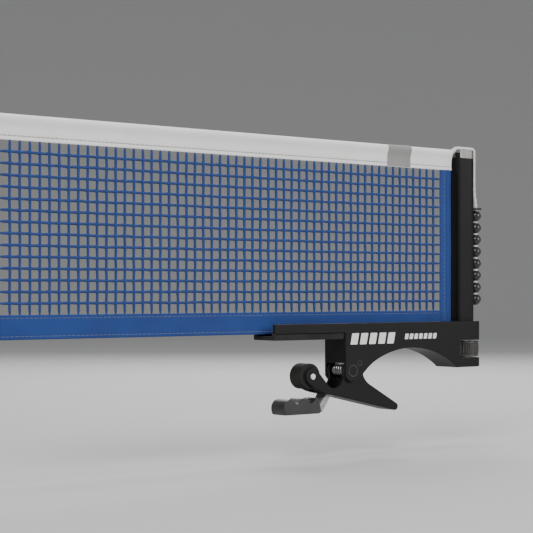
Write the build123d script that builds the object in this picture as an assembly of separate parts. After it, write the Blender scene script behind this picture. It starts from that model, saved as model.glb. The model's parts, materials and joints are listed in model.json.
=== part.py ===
from build123d import *
import math
import os

os.makedirs("parts", exist_ok=True)

# Millimetres. X runs outward from the table's edge, Y across the clamp (front is -Y), Z up.
# The origin is on the face that meets the table's edge, level with the table's top.

# Cast frame
ARM_LEFT = -70.0
ARM_RIGHT = 152.5
ARM_TOP = 12.0
ARM_UNDERSIDE = 4.4
FRAME_HALF = 12.25
CHANNEL_HALF = 10.25
WALL = 2.0
BASE_Z = -25.5
JAW_RIGHT = 150.9
ARCH_X = 70.4
ARCH_CROWN = -8.3
ARCH_RADIUS = 86.0
LOBE_RADIUS = 9.0
LOBE_EXIT_DEG = 40.0
ARCH_START_X = 32.0
EDGE_ROUND = 0.9
NOSE_ROUND = 8.0
THROAT_WALL_BOTTOM = -18.5
LEVER_GAP_RIGHT = 28.5
TRAY_LEFT = -68.5
TRAY_HALF = 10.75
TRAY_BOTTOM = 1.4
TRAY_FLOOR = 2.9
TRAY_CHANNEL_HALF = 9.25
LEDGE_TOP = 6.4

# Rubber pad under the arm
PAD_RIGHT = -2.1
PAD_ROUND = 1.4

# Lever, pivot and stop
PIVOT_X = 8.0
PIVOT_Z = -24.5
PIVOT_RADIUS = 3.0
PIVOT_HEAD_RADIUS = 4.4
PIVOT_CLEARANCE = 0.05
LEVER_HALF = 9.5
LEVER_INNER_HALF = 7.5
LEVER_END_RADIUS = 6.7
DIP_X = -8.3
DIP_Z = -27.3
DIP_RADIUS = 9.8
EAR_RADIUS = 13.2
EAR_BACK_RADIUS = 7.6
EAR_RIGHT = PIVOT_X + EAR_RADIUS
LEVER_LINE_X = -8.7
LEVER_LINE_Z = -42.9
LEVER_LINE_SLOPE = -0.223
LEVER_WEB = 2.0
LEVER_WEB_LEFT = -18.0
LEVER_WEB_RIGHT = 53.2
TIP_X = 55.2
TIP_RADIUS = 3.0
HANDLE_LENGTH = 32.2
HANDLE_DEG = -28.8
LEVER_END_LOW_DEG = 235
DIP_END_DEG = -20
EAR_BACK_DEG = (200, 150, 105)
EAR_DEG = (66, 25, -13)
EAR_EXIT_DEG = -70
LEVER_OPEN_DEG = 40.0
STOP_RADIUS = 2.0
STOP_ORBIT = 9.0
STOP_DEG = 40.0
STOP_PLAY_DEG = 2.0
SLOT_PLAY = 0.15

# Torsion spring on the pivot
BUSH_RADIUS = 4.1
WIRE_RADIUS = 0.9
COIL_RADIUS = 5.2
COIL_HALF = 5.0
COIL_TURNS = 4
LEG_ON_LEVER_X = 24.0
LEG_ON_LEVER_RISE = 3.09
LEG_ON_WALL_GAP = 0.1
LEG_ON_WALL_DEG = 60.0

# Roller
ROLLER_X = -30.5
ROLLER_Z = -27.8
ROLLER_RADIUS = 9.8
HUB_RADIUS = 5.2
HUB_HALF = 7.3
TYRE_HALF = 6.9
ROLLER_PIN_RADIUS = 2.25
ROLLER_PIN_HALF = 10.2
ROLLER_PIN_ROUND = 0.4
TYRE_ROUND = 1.2

# Finger grip on its shank
GRIP_LEFT = -57.1
GRIP_RIGHT = -20.8
GRIP_BOTTOM = -56.0
GRIP_HALF = 8.0
GRIP_PEAK_X = -37.2
GRIP_PITCH = 13.5
GRIP_MEAN_TOP = -46.1
GRIP_WAVE = 1.9
GRIP_ROUND = 0.8
GRIP_QUARTER_WAVES = 4
GRIP_LEFT_TUCK = (1.6, 3.4)
GRIP_RIGHT_TUCK = (2.6, 3.2)
SHANK_HALF = 2.5
SHANK_DEPTH_HALF = 5.5
SHANK_CORNER = 1.0
SHANK_FOOT = (-19.5, -54.0)
SHANK_LEAN_DEG = 35.0
SHANK_LENGTH = 16.2
SHANK_HEAD_LIP = 1.1
SHANK_HEAD = 1.4
TANG_LEFT = -29.0
TANG_HALF = 4.5
TANG_BOTTOM = -53.0
TANG_TOP = -51.0

# Height nut, its washers and the stud
POST_X = 139.9
NUT_RADIUS = 13.75
NUT_BOTTOM = -17.0
NUT_TOP = -4.5
NUT_BAND = 8.3
NUT_GROOVE = 0.5
WINDOW_LEFT = 125.6
WINDOW_BOTTOM = -18.0
WINDOW_TOP = -3.5
BEARING_TOP = -1.8
STUD_RADIUS = 4.0
STUD_BOTTOM = -23.5
STUD_TOP = 7.0
THREAD_CLEARANCE = 0.05
STUD_BORE = 4.4
WASHER_RADIUS = 7.5
WASHER_PLAY = 0.1
NUT_CHAMFER = 0.6
STUD_CHAMFER = 0.8

# Post
POST_WIDTH = 20.8
POST_DEPTH = 14.0
POST_WALL = 1.5
POST_CORNER = 2.4
POST_OUTER_CORNER = 6.5
POST_BOTTOM = 0.2
POST_SHOULDER = 145.8
POST_EAR_TOP = 150.0
POST_PLAY = 0.2
FOOT_TOP = 8.0
FOOT_PIN_RADIUS = 1.5
FOOT_PIN_OFFSET = 6.3
CAP_TOP = 153.0
CAP_PLUG_BOTTOM = 137.0
NOTCH_BOTTOM = 146.2
CAP_ROUND = 0.8

# Net, its tape and hems
NET_RIGHT = 126.8
SIDE_HEM = 12.8
CELL = 7.5
CELLS = 54
NET_BOTTOM = 4.5
MESH_BOTTOM = 20.9
TAPE_BOTTOM = 135.5
TAPE_TOP = 152.5
TAPE_HALF = 0.8
TAPE_LOOP_RADIUS = 2.6
MESH_HALF = 0.65
HEM_HALF = 0.7
POCKET_RADIUS = 1.7
BATTEN_RADIUS = 1.2
BATTEN_X = 122.75
LABEL_LEFT = 54.4
LABEL_RIGHT = 79.8
LABEL_THICKNESS = 0.35

# Cord and beads
CORD_RADIUS = 2.1
CORD_GAP = 0.12
CORD_TOP_Z = 153.4
CORD_DOWN_X = 153.05
CORD_CORNER = 4.5
LOOP_RADIUS = 7.0
FERRULE_RADIUS = 4.2
FERRULE_LENGTH = 9.0
BEAD_RADIUS = 4.9
BEAD_PITCH = 9.9
BEAD_X = 155.7
BEAD_TOP_Z = 98.8
BEADS = 8
LOCK_BOTTOM = 103.9
LOCK_THICKNESS = 1.5
LOCK_LEFT = 134.0
LOCK_RIGHT = 159.2
LOCK_HALF = 5.0
LOCK_CORNER = 2.0
LOCK_SLOT_HALF = 2.3

MESH_RIGHT = NET_RIGHT - SIDE_HEM
MESH_LEFT = MESH_RIGHT - CELLS * CELL
NET_LEFT = MESH_LEFT - SIDE_HEM
CORD_Z = TAPE_TOP - TAPE_LOOP_RADIUS
POST_LEFT = POST_X - POST_WIDTH / 2


def at(x, z):
    """A point of the front view."""
    return Vector(x, 0, z)


def around(x, z, radius, degrees):
    """A point of the front view on a circle, counter-clockwise from +X."""
    angle = math.radians(degrees)
    return at(x + radius * math.cos(angle), z + radius * math.sin(angle))


def heading(degrees):
    angle = math.radians(degrees)
    return Vector(math.cos(angle), 0, math.sin(angle))


def slab(edges, y_low, y_high):
    """Closes front-view edges into a face and extrudes it from y_low to y_high."""
    face = make_face(edges)
    return Pos(0, y_low, 0) * extrude(face, amount=y_high - y_low, dir=(0, 1, 0))


def block(x_low, x_high, y_half, z_low, z_high):
    """A box centred on the middle plane."""
    middle = Pos((x_low + x_high) / 2, 0, (z_low + z_high) / 2)
    return middle * Box(x_high - x_low, 2 * y_half, z_high - z_low)


def rod(start, direction, length, radius):
    """A round bar from start along direction."""
    ends = (Align.CENTER, Align.CENTER, Align.MIN)
    return Plane(origin=start, z_dir=direction) * Cylinder(radius, length, align=ends)


def cross_pin(x, z, radius, y_low, y_high):
    """A round bar across the clamp."""
    return rod((x, y_low, z), (0, 1, 0), y_high - y_low, radius)


def upright(x, z_low, z_high, radius):
    return rod((x, 0, z_low), (0, 0, 1), z_high - z_low, radius)


def mirrored(piece):
    """A piece and its copy on the other side of the middle plane."""
    return piece + mirror(piece, Plane.XZ)


def arch_z(x, radius):
    """Height of the arch's circle above the point x, for a circle of the given radius."""
    centre_z = ARCH_CROWN - ARCH_RADIUS
    return centre_z + math.sqrt(radius**2 - (x - ARCH_X) ** 2)


def arch_slope_deg(x):
    run = ARCH_X - x
    return math.degrees(math.atan2(run, math.sqrt(ARCH_RADIUS**2 - run**2)))


# ---------------------------------------------------------------- cast frame


def frame_outline():
    arch_reach = math.sqrt(ARCH_RADIUS**2 - (BASE_Z - ARCH_CROWN + ARCH_RADIUS) ** 2)
    base_left = ARCH_X + arch_reach
    lobe_drop = math.sqrt(LOBE_RADIUS**2 - PIVOT_X**2)
    throat_end = at(0, PIVOT_Z - lobe_drop)
    lobe_exit = around(PIVOT_X, PIVOT_Z, LOBE_RADIUS, LOBE_EXIT_DEG - 90)
    arch_start = at(ARCH_START_X, arch_z(ARCH_START_X, ARCH_RADIUS))
    run_in = [heading(LOBE_EXIT_DEG), heading(arch_slope_deg(ARCH_START_X))]
    return [
        Line(at(ARM_LEFT, ARM_TOP), at(ARM_RIGHT, ARM_TOP)),
        Line(at(ARM_RIGHT, ARM_TOP), at(ARM_RIGHT, BASE_Z)),
        Line(at(ARM_RIGHT, BASE_Z), at(base_left, BASE_Z)),
        ThreePointArc(at(base_left, BASE_Z), at(ARCH_X, ARCH_CROWN), arch_start),
        Spline(lobe_exit, arch_start, tangents=run_in),
        ThreePointArc(lobe_exit, at(PIVOT_X, PIVOT_Z - LOBE_RADIUS), throat_end),
        Line(throat_end, at(0, ARM_UNDERSIDE)),
        Line(at(0, ARM_UNDERSIDE), at(ARM_LEFT, ARM_UNDERSIDE)),
        Line(at(ARM_LEFT, ARM_UNDERSIDE), at(ARM_LEFT, ARM_TOP)),
    ]


def frame_cavity():
    """The hollow between the throat wall and the nut window, open at the top."""
    floor_radius = ARCH_RADIUS + WALL
    right = WINDOW_LEFT - WALL
    above = ARM_TOP + 1
    floor_right = at(right, arch_z(right, floor_radius))
    floor_left = at(WALL, arch_z(WALL, floor_radius))
    return [
        Line(at(WALL, above), at(right, above)),
        Line(at(right, above), floor_right),
        ThreePointArc(floor_right, at(ARCH_X, ARCH_CROWN + WALL), floor_left),
        Line(floor_left, at(WALL, above)),
    ]


def clamp_frame():
    body = slab(frame_outline(), -FRAME_HALF, FRAME_HALF)
    body = fillet(body.edges().filter_by(Axis.Z).sort_by(Axis.X)[-2:], NOSE_ROUND)
    nose_start = ARM_RIGHT - NOSE_ROUND
    rims = body.faces().filter_by(Axis.Y).edges()
    rims = rims.filter_by(lambda edge: abs(edge.center().X - nose_start) > EDGE_ROUND)
    body = fillet(rims, EDGE_ROUND)
    body += block(TRAY_LEFT, WALL, TRAY_HALF, TRAY_BOTTOM, LEDGE_TOP)
    above = ARM_TOP + 1
    body -= slab(frame_cavity(), -CHANNEL_HALF, CHANNEL_HALF)
    body -= block(ARM_LEFT - 1, WALL + 1, CHANNEL_HALF, LEDGE_TOP, above)
    body -= block(ARM_LEFT - 1, 0, TRAY_CHANNEL_HALF, TRAY_FLOOR, above)
    body -= block(0, WALL + 1, CHANNEL_HALF, TRAY_FLOOR, above)
    body -= block(-1, LEVER_GAP_RIGHT, CHANNEL_HALF, BASE_Z - 10, THROAT_WALL_BOTTOM)
    # Space beside the post's guide rib for the net's hem, then the post's own socket.
    rib_right = POST_LEFT - POST_PLAY
    rib_left = rib_right - WALL
    body -= block(WINDOW_LEFT - WALL - 1, rib_left, CHANNEL_HALF, BEARING_TOP, above)
    body -= post_section(-POST_PLAY, BEARING_TOP, above)
    # Window for the height nut, open at the end, and the shorter jaw below it.
    far = ARM_RIGHT + 1
    body -= block(WINDOW_LEFT, far, FRAME_HALF + 1, WINDOW_BOTTOM, WINDOW_TOP)
    body -= block(JAW_RIGHT, far, FRAME_HALF + 1, BASE_Z - 1, WINDOW_BOTTOM)
    body -= upright(POST_X, BASE_Z - 1, BEARING_TOP + 1, STUD_BORE)
    body -= pivot_pin()
    body -= stop_rivet()
    return body


def upper_pad():
    """Rubber shoe, moulded around the tray under the arm."""
    pad = block(ARM_LEFT, PAD_RIGHT, FRAME_HALF, 0, ARM_UNDERSIDE)
    ends = pad.faces().sort_by(Axis.X)
    low_ends = [ends[0].edges().sort_by(Axis.Z)[0], ends[-1].edges().sort_by(Axis.Z)[0]]
    pad = fillet(low_ends, PAD_ROUND)
    pad -= block(ARM_LEFT - 1, 0, TRAY_CHANNEL_HALF, TRAY_FLOOR, ARM_UNDERSIDE + 1)
    return pad - block(TRAY_LEFT, 0, TRAY_HALF, TRAY_BOTTOM, ARM_UNDERSIDE + 1)


# ---------------------------------------------------------------- pivot, stop and spring


def pivot_pin():
    """Rivet with both heads countersunk flush into the cheeks."""
    pin = cross_pin(PIVOT_X, PIVOT_Z, PIVOT_RADIUS, -FRAME_HALF, FRAME_HALF)
    sink = PIVOT_HEAD_RADIUS - PIVOT_RADIUS
    head = Cone(PIVOT_RADIUS, PIVOT_HEAD_RADIUS, sink, align=(Align.CENTER, Align.CENTER, Align.MAX))
    return pin + mirrored(Plane(origin=(PIVOT_X, FRAME_HALF, PIVOT_Z), z_dir=(0, 1, 0)) * head)


def pivot_washers():
    """Nylon washers between the lever and the frame's cheeks."""
    inner = LEVER_HALF + 0.1
    disc = cross_pin(PIVOT_X, PIVOT_Z, EAR_BACK_RADIUS - 0.6, inner, CHANNEL_HALF)
    return mirrored(disc - cross_pin(PIVOT_X, PIVOT_Z, PIVOT_RADIUS, inner, CHANNEL_HALF))


def pivot_bush():
    half = LEVER_INNER_HALF - 0.1
    bush = cross_pin(PIVOT_X, PIVOT_Z, BUSH_RADIUS, -half, half)
    return bush - cross_pin(PIVOT_X, PIVOT_Z, PIVOT_RADIUS, -half, half)


def stop_centre():
    return around(PIVOT_X, PIVOT_Z, STOP_ORBIT, STOP_DEG)


def stop_rivet():
    centre = stop_centre()
    return cross_pin(centre.X, centre.Z, STOP_RADIUS, -FRAME_HALF, FRAME_HALF)


def torsion_spring():
    """Closes the jaw: one leg bears down on the lever's web, the other on the throat wall."""
    foot_z = lever_line(LEG_ON_LEVER_X) + LEG_ON_LEVER_RISE
    run = LEG_ON_LEVER_X - PIVOT_X
    drop = foot_z - PIVOT_Z
    reach = math.hypot(run, drop)
    start_deg = math.degrees(math.atan2(drop, run) + math.acos(COIL_RADIUS / reach))
    turns = COIL_TURNS + (LEG_ON_WALL_DEG - start_deg) / 360
    plane = Plane(
        origin=(PIVOT_X, COIL_HALF, PIVOT_Z), x_dir=heading(start_deg), z_dir=(0, -1, 0)
    )
    path = plane * Helix(2 * COIL_HALF / turns, 2 * COIL_HALF, COIL_RADIUS)
    wire = Plane(origin=path @ 0, z_dir=path % 0) * Circle(WIRE_RADIUS)
    coil = sweep(wire, path, is_frenet=True)
    first = path @ 0
    last = path @ 1
    lever_leg = heading(start_deg - 90)
    wall_leg = heading(LEG_ON_WALL_DEG + 90)
    wall_run = (last.X - WALL - WIRE_RADIUS - LEG_ON_WALL_GAP) / -wall_leg.X
    coil += rod(first, lever_leg, math.sqrt(reach**2 - COIL_RADIUS**2), WIRE_RADIUS)
    return coil + rod(last, wall_leg, wall_run, WIRE_RADIUS)


# ---------------------------------------------------------------- lever


def lever_line(x):
    """Height of the handle's straight lower edge."""
    return LEVER_LINE_Z + LEVER_LINE_SLOPE * (x - LEVER_LINE_X)


def lever_outline():
    apart = math.hypot(DIP_X - ROLLER_X, DIP_Z - ROLLER_Z)
    base_deg = math.degrees(math.atan2(DIP_Z - ROLLER_Z, DIP_X - ROLLER_X))
    normal_deg = base_deg + math.degrees(math.acos((LEVER_END_RADIUS + DIP_RADIUS) / apart))
    slope_deg = math.degrees(math.atan(LEVER_LINE_SLOPE))
    end_top = around(ROLLER_X, ROLLER_Z, LEVER_END_RADIUS, normal_deg)
    end_left = around(ROLLER_X, ROLLER_Z, LEVER_END_RADIUS, 180)
    end_low = around(ROLLER_X, ROLLER_Z, LEVER_END_RADIUS, LEVER_END_LOW_DEG)
    line_left = at(LEVER_WEB_LEFT, lever_line(LEVER_WEB_LEFT))
    dip_start = around(DIP_X, DIP_Z, DIP_RADIUS, normal_deg + 180)
    dip_low = around(DIP_X, DIP_Z, DIP_RADIUS, 270)
    dip_end = around(DIP_X, DIP_Z, DIP_RADIUS, DIP_END_DEG)
    back = [around(PIVOT_X, PIVOT_Z, EAR_BACK_RADIUS, degrees) for degrees in EAR_BACK_DEG]
    ear = [around(PIVOT_X, PIVOT_Z, EAR_RADIUS, degrees) for degrees in EAR_DEG]
    tip_z = lever_line(TIP_X) + TIP_RADIUS * math.hypot(1, LEVER_LINE_SLOPE)
    tip_top = around(TIP_X, tip_z, TIP_RADIUS, HANDLE_DEG + 90)
    tip_end = around(TIP_X, tip_z, TIP_RADIUS, 0)
    tip_low = around(TIP_X, tip_z, TIP_RADIUS, slope_deg - 90)
    handle_left = tip_top - heading(HANDLE_DEG) * HANDLE_LENGTH
    end_arc = ThreePointArc(end_low, end_left, end_top)
    return [
        end_arc,
        Line(end_top, dip_start),
        ThreePointArc(dip_start, dip_low, dip_end),
        Line(dip_end, back[0]),
        ThreePointArc(*back),
        Line(back[-1], ear[0]),
        ThreePointArc(*ear),
        Spline(ear[-1], handle_left, tangents=[heading(EAR_EXIT_DEG), heading(HANDLE_DEG)]),
        Line(handle_left, tip_top),
        ThreePointArc(tip_top, tip_end, tip_low),
        Line(tip_low, line_left),
        Spline(line_left, end_low, tangents=[heading(slope_deg + 180), end_arc % 0]),
    ]


def lever_hollow():
    """What is open between the lever's two cheeks: all but the web along its lower edge."""
    rise = LEVER_WEB * math.hypot(1, LEVER_LINE_SLOPE)
    low = lever_line(LEVER_WEB_LEFT) - ROLLER_RADIUS
    open_left = ROLLER_X - 1.5 * ROLLER_RADIUS
    corners = [
        (LEVER_WEB_LEFT, low),
        (LEVER_WEB_LEFT, lever_line(LEVER_WEB_LEFT) + rise),
        (LEVER_WEB_RIGHT, lever_line(LEVER_WEB_RIGHT) + rise),
        (LEVER_WEB_RIGHT, 0),
        (open_left, 0),
        (open_left, low),
    ]
    points = [at(x, z) for x, z in corners]
    return [Polyline(*points, close=True)]


def stop_slots():
    """Arc slots that the stop rivet runs in: it limits both closing and opening."""
    half_width = STOP_RADIUS + SLOT_PLAY
    first = STOP_DEG - LEVER_OPEN_DEG - STOP_PLAY_DEG
    slot = cross_pin(*stop_point(first), half_width, -LEVER_HALF, LEVER_HALF)
    slot += cross_pin(*stop_point(STOP_DEG), half_width, -LEVER_HALF, LEVER_HALF)
    ring = cross_pin(PIVOT_X, PIVOT_Z, STOP_ORBIT + half_width, -LEVER_HALF, LEVER_HALF)
    ring -= cross_pin(PIVOT_X, PIVOT_Z, STOP_ORBIT - half_width, -LEVER_HALF, LEVER_HALF)
    far = 3 * EAR_RADIUS
    centre = at(PIVOT_X, PIVOT_Z)
    fan = [Polyline(centre, centre + heading(first) * far, centre + heading(STOP_DEG) * far, close=True)]
    return slot + (ring & slab(fan, -LEVER_HALF, LEVER_HALF))


def stop_point(degrees):
    point = around(PIVOT_X, PIVOT_Z, STOP_ORBIT, degrees)
    return point.X, point.Z


def clamp_lever():
    body = slab(lever_outline(), -LEVER_HALF, LEVER_HALF)
    # The ear round the pivot, between the frame's cheeks, keeps square edges.
    rims = body.faces().filter_by(Axis.Y).edges()
    shown = rims.filter_by(lambda edge: not 0 < edge.center().X < EAR_RIGHT)
    body = fillet(shown, EDGE_ROUND)
    body -= slab(lever_hollow(), -LEVER_INNER_HALF, LEVER_INNER_HALF)
    bore = PIVOT_RADIUS + PIVOT_CLEARANCE
    body -= cross_pin(PIVOT_X, PIVOT_Z, bore, -FRAME_HALF, FRAME_HALF)
    body -= cross_pin(ROLLER_X, ROLLER_Z, ROLLER_PIN_RADIUS, -FRAME_HALF, FRAME_HALF)
    body -= stop_slots()
    return body - grip_shank()


def shank_heading():
    return heading(90 - SHANK_LEAN_DEG)


def shank_length(start, length, lip):
    """A length of the flat bar, lip wider all round than the bar itself."""
    plane = Plane(origin=start, x_dir=(0, 1, 0), z_dir=shank_heading())
    depth = 2 * (SHANK_DEPTH_HALF + lip)
    section = plane * RectangleRounded(depth, 2 * (SHANK_HALF + lip), SHANK_CORNER)
    return extrude(section, amount=length, dir=shank_heading())


def grip_shank():
    """Bright flat bar, its tang moulded into the grip, riveted over inside the lever's web."""
    foot = at(*SHANK_FOOT)
    head_foot = foot + shank_heading() * (SHANK_LENGTH - SHANK_HEAD)
    bar = shank_length(foot, SHANK_LENGTH, 0)
    bar += shank_length(head_foot, SHANK_HEAD, SHANK_HEAD_LIP)
    return bar + block(TANG_LEFT, foot.X, TANG_HALF, TANG_BOTTOM, TANG_TOP)


def wave_top(x):
    return GRIP_MEAN_TOP + GRIP_WAVE * math.cos(2 * math.pi * (x - GRIP_PEAK_X) / GRIP_PITCH)


def finger_grip():
    """Moulded grip with a ribbed top and a flat underside."""
    quarters = range(-GRIP_QUARTER_WAVES, GRIP_QUARTER_WAVES + 1)
    top = [at(x, wave_top(x)) for x in (GRIP_PEAK_X + n * GRIP_PITCH / 4 for n in quarters)]
    left_in, left_up = GRIP_LEFT_TUCK
    right_in, right_up = GRIP_RIGHT_TUCK
    left_low = at(GRIP_LEFT + left_in, GRIP_BOTTOM)
    right_low = at(GRIP_RIGHT - right_in, GRIP_BOTTOM)
    left_mid = at(GRIP_LEFT, GRIP_BOTTOM + left_up)
    right_mid = at(GRIP_RIGHT, GRIP_BOTTOM + right_up)
    edges = [
        Spline(*top),
        Line(top[-1], right_mid),
        TangentArc(right_mid, right_low, tangent=right_mid - top[-1]),
        Line(right_low, left_low),
        ThreePointArc(left_low, left_mid, top[0]),
    ]
    grip = slab(edges, -GRIP_HALF, GRIP_HALF)
    return fillet(grip.faces().filter_by(Axis.Y).edges(), GRIP_ROUND) - grip_shank()


# ---------------------------------------------------------------- roller


def roller_pin():
    pin = cross_pin(ROLLER_X, ROLLER_Z, ROLLER_PIN_RADIUS, -ROLLER_PIN_HALF, ROLLER_PIN_HALF)
    return fillet(pin.edges().filter_by(GeomType.CIRCLE), ROLLER_PIN_ROUND)


def roller_hub():
    hub = cross_pin(ROLLER_X, ROLLER_Z, HUB_RADIUS, -HUB_HALF, HUB_HALF)
    bore = ROLLER_PIN_RADIUS + PIVOT_CLEARANCE
    return hub - cross_pin(ROLLER_X, ROLLER_Z, bore, -HUB_HALF, HUB_HALF)


def roller_tyre():
    tyre = cross_pin(ROLLER_X, ROLLER_Z, ROLLER_RADIUS, -TYRE_HALF, TYRE_HALF)
    tyre = fillet(tyre.edges().filter_by(GeomType.CIRCLE), TYRE_ROUND)
    return tyre - cross_pin(ROLLER_X, ROLLER_Z, HUB_RADIUS, -TYRE_HALF, TYRE_HALF)


# ---------------------------------------------------------------- height nut


def height_nut():
    nut = upright(POST_X, NUT_BOTTOM, NUT_TOP, NUT_RADIUS)
    nut = chamfer(nut.edges().filter_by(GeomType.CIRCLE), NUT_CHAMFER)
    middle = (NUT_BOTTOM + NUT_TOP) / 2
    for side in (-1, 1):
        edge = middle + side * NUT_BAND / 2
        low = min(edge, edge + side * NUT_GROOVE)
        ring = upright(POST_X, low, low + NUT_GROOVE, NUT_RADIUS + 1)
        nut -= ring - upright(POST_X, low, low + NUT_GROOVE, NUT_RADIUS - NUT_GROOVE)
    return nut - upright(POST_X, NUT_BOTTOM, NUT_TOP, STUD_RADIUS + THREAD_CLEARANCE)


def nut_washers():
    low = upright(POST_X, WINDOW_BOTTOM, NUT_BOTTOM - WASHER_PLAY, WASHER_RADIUS)
    high = upright(POST_X, NUT_TOP + WASHER_PLAY, WINDOW_TOP, WASHER_RADIUS)
    return low + high - upright(POST_X, WINDOW_BOTTOM, WINDOW_TOP, STUD_BORE)


# ---------------------------------------------------------------- post


def post_section(inset, z_low, z_high):
    """A length of the post's section, drawn in by inset: its outer side is nearly half round."""
    face = Rectangle(POST_WIDTH - 2 * inset, POST_DEPTH - 2 * inset)
    corners = face.vertices().sort_by(Axis.X)
    face = fillet(corners[:2], POST_CORNER - inset)
    face = fillet(face.vertices().sort_by(Axis.X)[-2:], POST_OUTER_CORNER - inset)
    return Pos(POST_X, 0, z_low) * extrude(face, amount=z_high - z_low)


def post_tube():
    tube = post_section(0, POST_BOTTOM, POST_EAR_TOP)
    tube -= post_section(POST_WALL, POST_BOTTOM, POST_EAR_TOP)
    # Front and back walls stop at the cap's shoulder, and the cord's side is notched.
    ear_gap = POST_WIDTH / 2 - POST_WALL
    tube -= block(POST_X - ear_gap, POST_X + ear_gap, POST_DEPTH, POST_SHOULDER, POST_EAR_TOP)
    tube -= block(POST_LEFT - 1, POST_X, CORD_RADIUS + 0.5, NOTCH_BOTTOM, POST_EAR_TOP)
    return tube - cord_lock_plate() - foot_pin()


def post_cap():
    """Saddle that the cord runs over, plugged into the top of the tube."""
    half = POST_WIDTH / 2 - POST_WALL
    head = block(POST_X - half, POST_X + half, POST_DEPTH / 2, POST_SHOULDER, CAP_TOP)
    head &= post_section(0, POST_SHOULDER, CAP_TOP)
    rims = head.faces().sort_by(Axis.Z)[-1].edges()
    head = fillet(rims, CAP_ROUND)
    cap = head + post_section(POST_WALL, CAP_PLUG_BOTTOM, POST_SHOULDER)
    return cap - cord_tube(cord_route(), CORD_RADIUS + CORD_GAP)


def post_foot():
    foot = post_section(POST_WALL, POST_BOTTOM, FOOT_TOP)
    return foot - upright(POST_X, POST_BOTTOM, FOOT_TOP, STUD_RADIUS) - foot_pin()


def foot_pin():
    """Dowel through the tube and its foot."""
    x = POST_X - FOOT_PIN_OFFSET
    z = (POST_BOTTOM + FOOT_TOP) / 2
    return cross_pin(x, z, FOOT_PIN_RADIUS, -POST_DEPTH / 2, POST_DEPTH / 2)


def adjusting_stud():
    stud = upright(POST_X, STUD_BOTTOM, STUD_TOP, STUD_RADIUS)
    return chamfer(stud.faces().sort_by(Axis.Z)[0].edges(), STUD_CHAMFER)


def cord_lock_plate():
    """Slotted plate welded through the post's outer wall: a bead catches under its slot."""
    plate = block(LOCK_LEFT, LOCK_RIGHT, LOCK_HALF, LOCK_BOTTOM, LOCK_BOTTOM + LOCK_THICKNESS)
    plate = fillet(plate.edges().filter_by(Axis.Z).sort_by(Axis.X)[-2:], LOCK_CORNER)
    top = LOCK_BOTTOM + LOCK_THICKNESS + 1
    slot = block(BEAD_X, LOCK_RIGHT + 1, LOCK_SLOT_HALF, LOCK_BOTTOM - 1, top)
    return plate - slot - upright(BEAD_X, LOCK_BOTTOM - 1, top, LOCK_SLOT_HALF)


# ---------------------------------------------------------------- cord and beads


def cord_route():
    """Corners of the cord's run, from the far end of the tape to the locked bead's top."""
    return [
        (at(NET_LEFT - 3, CORD_Z), 0),
        (at(NET_RIGHT + 1.6, CORD_Z), 4.0),
        (at(NET_RIGHT + 5.4, CORD_TOP_Z), 5.0),
        (at(CORD_DOWN_X, CORD_TOP_Z), CORD_CORNER),
        (at(CORD_DOWN_X, LOCK_BOTTOM + 12), 20.0),
        (at(BEAD_X, LOCK_BOTTOM + 5), 13.0),
        (at(BEAD_X, BEAD_TOP_Z - math.sqrt(BEAD_RADIUS**2 - CORD_RADIUS**2)), 0),
    ]


def cord_tube(route, radius):
    points = [point for point, _ in route]
    bends = [bend for _, bend in route[1:-1]]
    path = FilletPolyline(*points, radius=bends)
    section = Plane(origin=path @ 0, z_dir=path % 0) * Circle(radius)
    return sweep(section, path)


def net_cord():
    return cord_tube(cord_route(), CORD_RADIUS)


def bead_z(number):
    return BEAD_TOP_Z - number * BEAD_PITCH


def bead(number):
    ball = Pos(BEAD_X, 0, bead_z(number)) * Sphere(BEAD_RADIUS)
    last = number == BEADS - 1
    hole_bottom = bead_z(number) if last else bead_z(number) - BEAD_RADIUS
    return ball - upright(BEAD_X, hole_bottom, bead_z(number) + BEAD_RADIUS, CORD_RADIUS)


def tail_cord():
    """Hangs below the locked bead, through the others, and ends inside the last."""
    top = bead_z(0) - BEAD_RADIUS - 0.05
    return upright(BEAD_X, bead_z(BEADS - 1), top, CORD_RADIUS)


def far_loop():
    """Eye at the cord's far end, which the opposite post holds."""
    centre = (NET_LEFT - 3 - FERRULE_LENGTH - LOOP_RADIUS + 1, 0, CORD_Z)
    return Plane(origin=centre, z_dir=(0, -1, 0)) * Torus(LOOP_RADIUS, CORD_RADIUS)


def far_ferrule():
    start = (NET_LEFT - 3 - FERRULE_LENGTH, 0, CORD_Z)
    body = rod(start, (1, 0, 0), FERRULE_LENGTH, FERRULE_RADIUS)
    body = fillet(body.edges().filter_by(GeomType.CIRCLE), 0.8)
    return body - far_loop()


# ---------------------------------------------------------------- net


def tape_section(extra):
    """End view of the tape: folded round the cord, then flat, grown by extra all round."""
    loop = Pos(0, CORD_Z) * Circle(TAPE_LOOP_RADIUS + extra)
    height = CORD_Z - TAPE_BOTTOM
    flat = Pos(0, TAPE_BOTTOM + height / 2) * Rectangle(2 * (TAPE_HALF + extra), height)
    return Plane.YZ * (loop + flat)


def tape_length(extra, x_low, x_high):
    return Pos(x_low, 0, 0) * extrude(tape_section(extra), amount=x_high - x_low, dir=(1, 0, 0))


def top_tape():
    core = rod((NET_LEFT, 0, CORD_Z), (1, 0, 0), NET_RIGHT - NET_LEFT, CORD_RADIUS)
    return tape_length(0, NET_LEFT, NET_RIGHT) - core


def net_label():
    """Plain woven label, folded over the tape."""
    outer = tape_length(LABEL_THICKNESS, LABEL_LEFT, LABEL_RIGHT)
    return outer - tape_length(0, LABEL_LEFT, LABEL_RIGHT)


def net_mesh():
    return block(MESH_LEFT, MESH_RIGHT, MESH_HALF, MESH_BOTTOM, TAPE_BOTTOM)


def bottom_hem():
    return block(MESH_LEFT, MESH_RIGHT, HEM_HALF, NET_BOTTOM, MESH_BOTTOM)


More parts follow.
